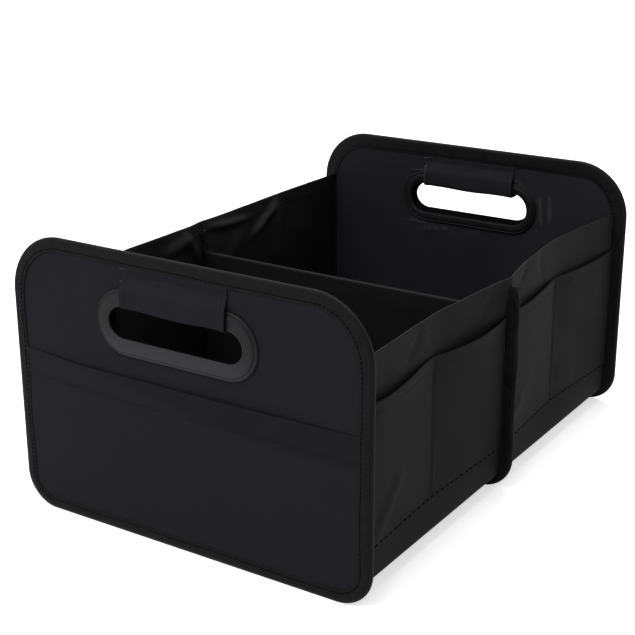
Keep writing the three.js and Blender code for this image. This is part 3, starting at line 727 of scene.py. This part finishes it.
# Painted shade: a darker band below the pocket's mouth, wider and deeper towards the right, where the hem
# leans out.
below = pocket_mouth_height - points[:, 2]
width = 25 * mm * ramp(points[:, 0], -150 * mm, 110 * mm)
shade = ramp(points[:, 0], -130 * mm, 60 * mm) * (1 - ramp(below, width - 6 * mm, width + 3 * mm))
paint_points(piece, "shade", shade)
u = np.linspace(-pocket_half + 7 * mm, pocket_half - 7 * mm, 300)
row = front_pocket(u, np.full(300, pocket_mouth_height - pocket_hem + 1.5 * mm)) - np.array([0, 0.72 * mm, 0])
stitches([facing(row, [0, -1, 0])], thread, "front_pocket_stitches")

# The divider is a board in a cloth cover that is folded over its top edge. At both sides and below, the
# cover, the walls and the floors are sewn together into fins, which a folded tape closes.
rim_height, fin_end, divider_half = 182 * mm, 174.5 * mm, 158.5 * mm
fold = [(-1.5, 2.5), (-1.5, 60), (-1.5, 120), (-1.5, 148), (-1.5, 152.8), (-1.3, 153.8), (-0.75, 154.4)]
fold = fold + [(0, 154.55)] + [(-y, z) for y, z in reversed(fold)]
fold_path, _, fold_run = smooth_path(np.array(fold) * mm, 400)
# Painted shade: the divider's cover and ears take a darker copy of the Oxford cloth, for the shade deep in
# the box.
divider_dark, divider_light = (0.0052, 0.0051, 0.0055), (0.0096, 0.0094, 0.0102)
divider_cloth = woven_cloth("divider_cloth", divider_dark, divider_light, rough=0.7, specular=0.1)


def divider(u, v):
    """Across along u, and over the board's top edge along v. Each face bows a little off the board."""
    y, z = (np.interp(v, fold_run, fold_path[:, k]) for k in range(2))
    turn = bottom_turn - 1.5 * mm
    below = np.clip(bottom_turn - z, 0, turn)
    x = u / divider_half * (divider_half - turn + np.sqrt(np.clip(turn**2 - below**2, 0, None)))
    free = ramp(z, 20 * mm, 60 * mm) * ramp(-z, -153 * mm, -140 * mm) * ramp(145 * mm - np.abs(x), 0, 25 * mm)
    loose = 0.4 * mm * (1 + waves(x, z, 17, 60 * mm)) * free
    z = z - 0.5 * mm * np.cos(math.pi * x / (2 * divider_half)) * ramp(z, 120 * mm, 154 * mm)
    return np.stack([x, y + np.sign(y) * loose, z], -1)


us, vs = lines(-divider_half, divider_half, 2.2 * mm, 0.9 * mm), lines(0, fold_run[-1], 1.1 * mm, 0.9 * mm)
round_the_edge = fold_run[-1] / 2 + np.linspace(-4, 4, 25) * mm
vs = np.unique(np.concatenate([vs, round_the_edge]))
points, faces, flat = cloth_sheet(divider, us, vs, 0.9 * mm)
piece = new_piece("divider_cloth", points, faces, divider_cloth, flat, ["divider_cover"])

ear_inner, ear_outer, ear_low, ear_thickness = 146.2 * mm, 157.5 * mm, 140 * mm, 3.6 * mm
for side, name in ((-1, "left"), (1, "right")):

    def ear(u, v, side=side):
        """The cover's ear: flat in the fin's middle, from the tape's inner edge out to its fold. Towards the
        rim it grows narrower with the fin."""
        share = (u - ear_inner) / (ear_outer - ear_inner)
        narrower = 5.4 * mm * share * ramp(v, rim_height - 22 * mm, rim_height)
        return np.stack([side * (u - narrower), 0 * u, v], -1)

    us = lines(ear_inner, ear_outer, 2 * mm, ear_thickness)
    vs = lines(ear_low, fin_end, 2 * mm, ear_thickness)
    points, faces, flat = cloth_sheet(ear, us, vs, ear_thickness)
    new_piece(f"divider_ear_{name}", points, faces, divider_cloth, flat)

# The fins and the tape below the divider are one run: down the left side, along the ground and up the right.
fin_top = np.linspace(fin_end, rim_height - 24 * mm, 16)
fin_side = panel_width / 2 - 8.06 * mm * ramp(fin_top, rim_height - 22 * mm, rim_height + 8 * mm)
turn_x = panel_width / 2 - bottom_turn
left_turn = quarter_turn(-turn_x, bottom_turn, bottom_turn, 180)
right_turn = quarter_turn(turn_x, bottom_turn, bottom_turn, 270)
left_fin, right_fin = np.stack([-fin_side, fin_top], 1), np.stack([fin_side, fin_top], 1)[::-1]
stations = 420
rim, rim_normal, run = even_path(np.concatenate([left_fin, left_turn, right_turn, right_fin]), stations)
section, across = ribbon_section(fold_line(seam_reach, seam_reach, tape_depth), tape_thickness)
fin_tape = ribbed_tape("fin_tape", (0.0030, 0.0030, 0.0032), (0.0125, 0.0121, 0.0133), specular=0.03)
narrow = 1 - 0.46 * ramp(rim[:, 1], rim_height - 22 * mm, rim_height)
inset, depth = section[None, :, 0] * narrow[:, None], section[None, :, 1]
leg = ramp(np.abs(inset), 2.5 * mm, 7 * mm)
pucker = 0.6 * mm * np.abs(waves_along(run, 41, 13 * mm))
from_end = np.minimum(run, run[-1] - run)[:, None]
end_close = np.sqrt(np.clip(1 - (1 - np.clip(from_end / (2.5 * mm), 0, 1)) ** 2, 0, 1))
depth = (depth + np.sign(depth) * pucker * leg) * (0.75 + 0.25 * end_close)
sway = 1.1 * mm * waves_along(run, 43, 36 * mm) * leg
edge_sway = 0.35 * mm * waves_along(run, 45, 24 * mm) * ramp(rim[:, 1:], 20 * mm, 40 * mm)
place = rim[:, None] - rim_normal[:, None] * (inset + sway + edge_sway)[..., None]
middle_y = 0.6 * mm * waves_along(run, 47, 150 * mm) * ramp(from_end, 0, 30 * mm)
points = np.stack([place[..., 0], depth + middle_y * (1 - leg), place[..., 1]], -1)
first, last = np.arange(len(section)), np.arange(len(section)) + (stations - 1) * len(section)


def end_cap(ring):
    """Closes a ribbon's end with quads between its two long sides."""
    size = len(ring) // 2
    one, other = ring[:size], ring[size:][::-1]
    return np.stack([one[:-1], one[1:], other[1:], other[:-1]], 1)


faces = np.concatenate([tube_faces(stations, len(section), False), end_cap(first), end_cap(last)[:, ::-1]])
flat = np.stack(np.broadcast_arrays(run[:, None], across[None]), -1).reshape(-1, 2)
skin = points.reshape(-1, 3)
new_piece("divider_binding_tape", skin, faces, fin_tape, flat, ["divider_edge_tape"])
rows = []
for face_side in (1, -1):
    row = points[4:-4, skin_index(section, seam_reach - 9 * mm, face_side)]
    rows.append(facing(row, [0, face_side, 0]))
stitches(rows, thread, "divider_binding_stitches")

# Each compartment's shell is one long strip of cloth: down one side, across the floor and up the other
# side. Its rim is folded inwards and hemmed, and it is drawn in along the pocket seams.
wall_out, shell_base, shell_turn = 149 * mm, 11.4 * mm, 4 * mm
pocket_low, pocket_high = 36 * mm, 150 * mm
span_middle, span_half, bluntness = 110.625 * mm, 107.8 * mm, 0.12
draw_in = {(1, -1): 6, (1, 1): 9, (-1, -1): 2, (-1, 1): 0.5}
left_folds = [((12, 174), (66, 170), 3.6, 2.6), ((72, 152), (109, 174), 4.4, 3.6)]
left_folds += [((-58, 165), (-22, 170), 6, 2.6), ((-30, 176), (-8, 150), 5, 1.8)]
left_folds += [((110.6, 172), (110.6, 118), 7, 4.2), ((110.6, 172), (110.6, 118), 0.9, 0.7)]
left_folds += [((20, 130), (60, 160), 10, 2.2), ((150, 150), (190, 110), 9, 1.8)]
right_folds = [((18, 160), (44, 178), 5, 1.4), ((86, 158), (74, 178), 5, 1.2)]
right_folds += [((-40, 158), (-22, 176), 6, 1.1), ((-150, 156), (-128, 176), 6, 1.0)]


def wall_face(side, y, z):
    """How far the wall's middle surface stands from the middle plane: drawn in along a shallow V whose
    point is the pocket seam, pulled out to the fin at the rim, and creased where the cloth is slack."""
    end = np.where(y < 0, -1, 1)
    place = (np.abs(y) - span_middle) / span_half
    corner = (np.sqrt(place**2 + bluntness**2) - bluntness) / (math.sqrt(1 + bluntness**2) - bluntness)
    height = 0.85 * ramp(z, 14 * mm, 46 * mm) + 0.15 * ramp(z, pocket_low, rim_height)
    amount = np.where(end < 0, draw_in[side, -1], draw_in[side, 1]) * mm
    x = wall_out - 0.5 * mm - amount * (1 - corner) * height
    to_fin = np.exp(-(np.abs(y) - 2.75 * mm) / (13 * mm))
    return x + 3.4 * mm * to_fin * ramp(z, 140 * mm, rim_height)


def slack(side, y, z):
    """The wall's own creases and waves, all of them inwards, so that its pockets stay clear of them."""
    above = ramp(z, 146 * mm, 158 * mm)
    lower = ramp(z, 40 * mm, 60 * mm)
    held = ramp(span_half - np.abs(np.abs(y) - span_middle), 0, 14 * mm)
    inwards = 0.3 * mm * (1 + waves(y, z, 60 + side, 62 * mm)) * held * lower
    inwards = inwards + 0.12 * mm * (1 + waves(y, z * 0.3, 64 + side, 40 * mm)) * held * above
    return inwards + creases(y, z, left_folds if side < 0 else right_folds)


rim_fold, shell_gap, shell_end = 12 * mm, 2.85 * mm, 218.4 * mm
floor_half = wall_out - 0.5 * mm - shell_turn
wall_rise = rim_height - shell_base - shell_turn
turn_run = math.pi / 2 * shell_turn
strip = 2 * (wall_rise + turn_run + floor_half)


def shell(u, v):
    """u runs along the box and v round the strip: down the right wall, round a small turn, across the
    floor, round the other turn and up the left wall. The rim sags between its ends, and above the fin the
    two shells' walls are drawn together."""
    left = v > strip / 2
    run = np.where(left, strip - v, v)
    side = np.where(left, -1, 1)
    turn = np.clip((run - wall_rise) / turn_run, 0, 1) * math.pi / 2
    across = np.clip(run - wall_rise - turn_run, 0, floor_half)
    z = rim_height - np.minimum(run, wall_rise) - shell_turn * np.sin(turn)
    lift = np.where(left, -1.6, np.where(u > 0, -1.3, 0.5)) * mm
    span_share = np.clip((np.abs(u) - 3 * mm) / (215 * mm), 0, 1)
    z_wall = z - lift * ramp(z, pocket_high, rim_height) * np.sin(math.pi * span_share) ** 0.6
    right_x = wall_face(1, u, z_wall) - slack(1, u, z_wall)
    left_x = wall_face(-1, u, z_wall) - slack(-1, u, z_wall)
    floor_x = floor_half + shell_turn * np.cos(turn) - across
    x = np.where(run > wall_rise, floor_x, np.where(left, left_x, right_x))
    under = 0.5 * mm * (1 + waves(u, v, 71, 80 * mm)) * ramp(across, 6 * mm, 30 * mm)
    above_fin = ramp(z_wall, fin_end - 4 * mm, fin_end - 1.5 * mm)
    meet = (shell_gap - 0.05 * mm) * np.exp(-(np.abs(u) - shell_gap) / (5 * mm)) * above_fin
    return np.stack([side * x, u - np.sign(u) * meet, z_wall - under], -1)


def shell_thickness(u, v):
    run = np.minimum(v, strip - v)
    hem = ramp(rim_fold + 0.6 * mm - run, 0, 1.6 * mm)
    seam = np.exp(-(((run - rim_fold + 2 * mm) / (0.7 * mm)) ** 2))
    return 0.95 * mm + 0.4 * mm * hem - 0.06 * mm * seam


wall_cloth = woven_cloth("wall_cloth", (0.0115, 0.0113, 0.0120), (0.0192, 0.0189, 0.0200))
# Painted shade: the side pockets take a darker copy of the wall cloth, which evens the side walls' brightness
# with the front.
side_cloth = woven_cloth("side_pocket_cloth", (0.0082, 0.0080, 0.0086), (0.0140, 0.0137, 0.0146))
# The shell's inner faces take a glossier coated cloth whose darker tone is a painted shade for the inside of
# the box.
inner_shade_dark, inner_shade_light = (0.0042, 0.0042, 0.0045), (0.0076, 0.0075, 0.0080)
coated_inner_shade = woven_cloth("coated_side", inner_shade_dark, inner_shade_light, rough=0.5, specular=0.2)
for end, low, high in (("front", -shell_end, -shell_gap), ("back", shell_gap, shell_end)):
    us = lines(low, high, 1.9 * mm, 1.2 * mm)
    wall_lines = lines(0, wall_rise, 1.5 * mm, 1.2 * mm)
    turn_lines = wall_rise + np.linspace(0, turn_run, 7)[1:]
    floor_lines = np.linspace(wall_rise + turn_run, strip / 2, 40)[1:]
    half_lines = np.concatenate([wall_lines[:-3], turn_lines, floor_lines])
    vs = np.concatenate([half_lines, (strip - half_lines[::-1])[1:]])
    points, faces, flat = cloth_sheet(shell, us, vs, shell_thickness)
    piece = new_piece(f"{end}_shell_cloth", points, faces, wall_cloth, flat, [f"{end}_shell"])
    inner_side = (np.arange(len(faces)) < len(faces) // 2).astype(np.int32)
    piece.data.materials.append(coated_inner_shade)
    piece.data.polygons.foreach_set("material_index", inner_side)
    rows = []
    for v0 in (rim_fold - 2 * mm, strip - rim_fold + 2 * mm):
        u = np.linspace(low + 1 * mm, high - 1 * mm, 260)
        middle = shell(u, np.full(260, v0))
        for inwards in (-1, 1):
            away = -inwards * np.sign(middle[:, :1]) * np.array([[1.0, 0, 0]])
            rows.append((middle + away * 0.56 * mm, away))
    for v0, v1 in ((rim_fold, rim_height - 40 * mm), (strip - rim_fold, strip - rim_height + 40 * mm)):
        for beside in (-1.3 * mm, 1.3 * mm):
            v = np.linspace(v0, v1, 160)
            middle = shell(np.full(160, (low + high) / 2 + beside), v)
            away = -np.sign(middle[:, :1]) * np.array([[1.0, 0, 0]])
            rows.append((middle + away * 0.4 * mm, away))
    stitches(rows, thread, f"{end}_wall_stitches")

# Each side pocket sheet lies on the outside of one wall. It is sewn down at its bottom, at both ends and
# in the middle, which makes two pockets, and its hemmed mouth gapes between the seams.
pocket_hem_width, pocket_limit = 11 * mm, 159.6 * mm
pocket_folds = {1: [((-163, 80), (-200, 43), 7, 1.3), ((-90, 60), (-60, 45), 10, 0.5)]}
pocket_folds[1] += [((120, 60), (150, 44), 7, 1.4), ((40, 70), (14, 52), 7, 1.2)]
pocket_folds[-1] = [((-60, 84), (-20, 46), 7, 1.8), ((160, 76), (200, 48), 7, 1.8)]
gape = {(1, -1): (4.2, 6), (1, 1): (2.8, 2.6), (-1, -1): (4, 5), (-1, 1): (4.5, 3.5)}


def side_pocket(side, u, v):
    """The wall's smooth surface plus a swell: sin(pi t) across each pocket, t being the share of its width,
    times the height's share to the power 1.3. The mouth dips in the middle of each pocket."""
    end = np.where(u < 0, -1, 1)
    place = (np.abs(u) - span_middle) / span_half
    near = place * end < 0
    t = np.where(place < 0, place + 1, place)
    first, second = (np.where(end < 0, gape[side, -1][k], gape[side, 1][k]) * mm for k in range(2))
    size = np.where(near, first, second)
    skew = np.where(near & (end < 0), 1.5, 1.0)
    arch = np.sin(math.pi * np.clip(t, 0, 1) ** skew)
    height_share = (v - pocket_low) / (pocket_high - pocket_low)
    dip = np.where((side * u > 0) & near, 0.3, 1.2) * mm
    z = v - dip * arch * height_share**3
    swell = size * arch**0.85 * np.clip(height_share, 0, 1) ** 1.3
    lip = 0.5 * mm * arch * ramp(v, pocket_high - 8 * mm, pocket_high)
    loose = 0.22 * mm * (1 + waves(u, z * 0.5, 81 + side, 60 * mm)) * arch * ramp(height_share, 0.03, 0.3)
    x = wall_face(side, u, z) + 1.25 * mm + swell + lip + loose + creases(u, z, pocket_folds[side])
    return np.stack([side * np.minimum(x, pocket_limit), u, z], -1)


def side_pocket_thickness(u, v):
    hem = ramp(v, pocket_high - pocket_hem_width, pocket_high - pocket_hem_width + 1.6 * mm)
    groove = np.exp(-(((v - pocket_low - 2 * mm) / (1.0 * mm)) ** 2))
    return 0.9 * mm + 0.3 * mm * hem - 0.45 * mm * groove


pocket_gap, pocket_end = 2.95 * mm, 218.3 * mm
bottom_seam, hem_seam = pocket_low + 2 * mm, pocket_high - pocket_hem_width + 1.6 * mm
for side, name in ((-1, "left"), (1, "right")):
    for end, low, high in (("front", -pocket_end, -pocket_gap), ("back", pocket_gap, pocket_end)):
        centre = (low + high) / 2
        us = np.concatenate([lines(low, high, 1.7 * mm, 1.2 * mm), centre + np.linspace(-6, 6, 17) * mm])
        us, vs = np.unique(us), lines(pocket_low, pocket_high, 1.5 * mm, 1.3 * mm)
        points, faces, flat = cloth_sheet(
            lambda u, v, side=side: side_pocket(side, u, v), us, vs, side_pocket_thickness
        )
        label = f"{name}_{end}_pocket"
        piece = new_piece(f"{label}_cloth", points, faces, side_cloth, flat, [label])
        across, upright = np.linspace(low + 1 * mm, high - 1 * mm, 400), np.full(200, centre)
        up = np.linspace(bottom_seam, pocket_high - 1.5 * mm, 200)
        tack = centre + np.linspace(-3, 3, 40) * mm
        seams = [(across, hem_seam + 0 * across), (upright - 1.3 * mm, up), (upright + 1.3 * mm, up)]
        seams += [(tack, pocket_high - 2.2 * mm + 0 * tack)]
        away = np.array([float(side), 0, 0])
        rows = [facing(side_pocket(side, u, v) + away * 0.5 * mm, away) for u, v in seams]
        stitches(rows, thread, f"{label}_stitches")
        bottom = side_pocket(side, across, bottom_seam + 0 * across) + away * 0.3 * mm
        bottom_name = f"{name}_{end}_bottom_stitches"
        stitches([facing(bottom, away)], seam_shadow_thread, bottom_name, 7.4 * mm, 4.4 * mm, 0.46 * mm)

# A stiff board lies on each compartment's floor, under a loose cloth lining with a stitched edge.
lining_half, lining_height, lining_gap, lining_end = 145 * mm, 16.1 * mm, 3.3 * mm, 218 * mm
for end, low, high in (("front", -lining_end, -lining_gap), ("back", lining_gap, lining_end)):

    def lining(u, v, low=low, high=high):
        """Flat on its board, lifted a little in soft waves away from its stitched edges."""
        from_ends = np.minimum(v - low, high - v)
        inside = ramp(lining_half - np.abs(u), 3 * mm, 25 * mm) * ramp(from_ends, 3 * mm, 25 * mm)
        return np.stack([u, v, lining_height + 0.5 * mm * (1 + waves(u, v, 91, 85 * mm)) * inside], -1)

    us, vs = lines(-lining_half, lining_half, 3 * mm, 0.9 * mm), lines(low, high, 3 * mm, 0.9 * mm)
    points, faces, flat = cloth_sheet(lining, us, vs, 0.9 * mm)
    piece = new_piece(f"{end}_lining_cloth", points, faces, cloth, flat, [f"{end}_base_lining"])
    edge = 5 * mm
    side, near, far = lining_half - edge, low + edge, high - edge
    corners = np.array([[-side, near], [side, near], [side, far], [-side, far], [-side, near]])
    around, _, _ = even_path(corners, 500)
    row = lining(around[:, 0], around[:, 1]) + np.array([0, 0, 0.45 * mm])
    stitches([facing(row, [0, 0, 1])], thread, f"{end}_lining_stitches")

# The studio: a pale floor without an edge in view, a white surround, a large soft lamp overhead and one
# high in front. The floor and the surround are white to the camera and dimmer to the light on the box.
studio = Paint("studio_floor", Roughness=0.9)
rays = studio.node("ShaderNodeLightPath", {}, [], 0).socket.node
seen = sum(Thread(studio, rays.outputs[f"Is {kind} Ray"]) for kind in ("Camera", "Glossy", "Transmission"))
studio.tint((0.45, 0.45, 0.45), (0.86, 0.86, 0.86), seen)
glow = studio.node("ShaderNodeEmission", {}, {"Color": (1, 1, 1, 1), "Strength": seen * 0.62})
both = studio.node("ShaderNodeAddShader", {}, [Thread(studio, studio.shader.outputs[0]), glow])
output = next(n for n in studio.tree.nodes if n.type == "OUTPUT_MATERIAL")
studio.tree.links.new(both.socket, output.inputs["Surface"])
reach = 14.0
floor_corners = [(-reach, -reach, 0), (reach, -reach, 0), (reach, reach, 0), (-reach, reach, 0)]
floor_mesh = bpy.data.meshes.new("studio_floor")
floor_mesh.from_pydata(floor_corners, [], [(0, 1, 2, 3)])
floor_mesh.materials.append(studio.material)
floor = bpy.data.objects.new("studio_floor", floor_mesh)
bpy.context.scene.collection.objects.link(floor)

world = bpy.data.worlds.new("studio")
world.use_nodes = True
bpy.context.scene.world = world
tree = world.node_tree
background = tree.nodes["Background"]
background.inputs["Color"].default_value = (1, 1, 1, 1)
path = tree.nodes.new("ShaderNodeLightPath")
seen = path.outputs["Is Camera Ray"]
for kind in ("Glossy", "Transmission"):
    either = tree.nodes.new("ShaderNodeMath")
    either.operation = "MAXIMUM"
    tree.links.new(seen, either.inputs[0])
    tree.links.new(path.outputs[f"Is {kind} Ray"], either.inputs[1])
    seen = either.outputs[0]
strength = tree.nodes.new("ShaderNodeMapRange")
tree.links.new(seen, strength.inputs["Value"])
strength.inputs["To Min"].default_value = 0.37
strength.inputs["To Max"].default_value = 1.0
tree.links.new(strength.outputs[0], background.inputs["Strength"])


def soft_lamp(name, place, aim, size, power):
    """A square lamp that faces the point it is aimed at."""
    lamp = bpy.data.lights.new(name, "AREA")
    lamp.shape, lamp.size, lamp.energy = "SQUARE", size, power
    made = bpy.data.objects.new(name, lamp)
    made.location = place
    dx, dy, dz = np.array(aim, float) - np.array(place, float)
    made.rotation_euler = (math.atan2(math.hypot(dx, dy), -dz), 0, math.atan2(-dx, dy))
    bpy.context.scene.collection.objects.link(made)


soft_lamp("overhead", (-0.5, 0.9, 2.2), (0, 0, 0.1), 1.8, 42)
soft_lamp("high_front", (-0.2, -1.6, 2.1), (0, 0, 0.1), 1.6, 34)

view = bpy.context.scene.view_settings
view.view_transform = "Standard"
